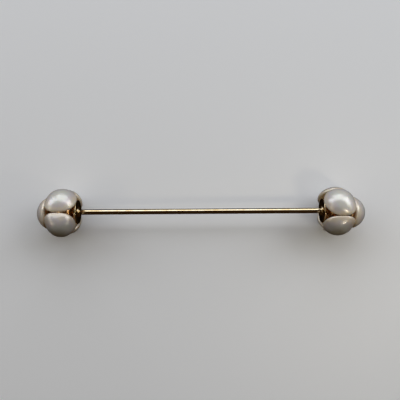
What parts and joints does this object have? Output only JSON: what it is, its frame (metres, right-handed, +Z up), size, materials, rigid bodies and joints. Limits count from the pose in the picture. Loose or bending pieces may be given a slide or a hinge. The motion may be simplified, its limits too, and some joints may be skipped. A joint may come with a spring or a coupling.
{
  "type": "tie bar",
  "caption": "Slim gold bar pin for a tie or collar, with a ball of button pearls on gold cups at each end.",
  "frame": {"origin": "under the middle of the whole part, on the surface that it rests on", "axes": "+X along the rod from the loose left end to the soldered right end, +Y towards the back, +Z up from the surface"},
  "size_m": [0.0674, 0.01, 0.01],
  "materials": {
    "gold": "polished",
    "pearl": "lustrous"
  },
  "bodies": {
    "root": {"bar": "gold", "left_setting": "gold", "left_end_pearl": "pearl", "left_top_back_pearl": "pearl", "left_top_front_pearl": "pearl", "left_under_front_pearl": "pearl", "left_under_back_pearl": "pearl", "right_end_pearl": "pearl", "right_top_back_pearl": "pearl", "right_top_front_pearl": "pearl", "right_under_front_pearl": "pearl", "right_under_back_pearl": "pearl"}
  },
  "joints": []
}
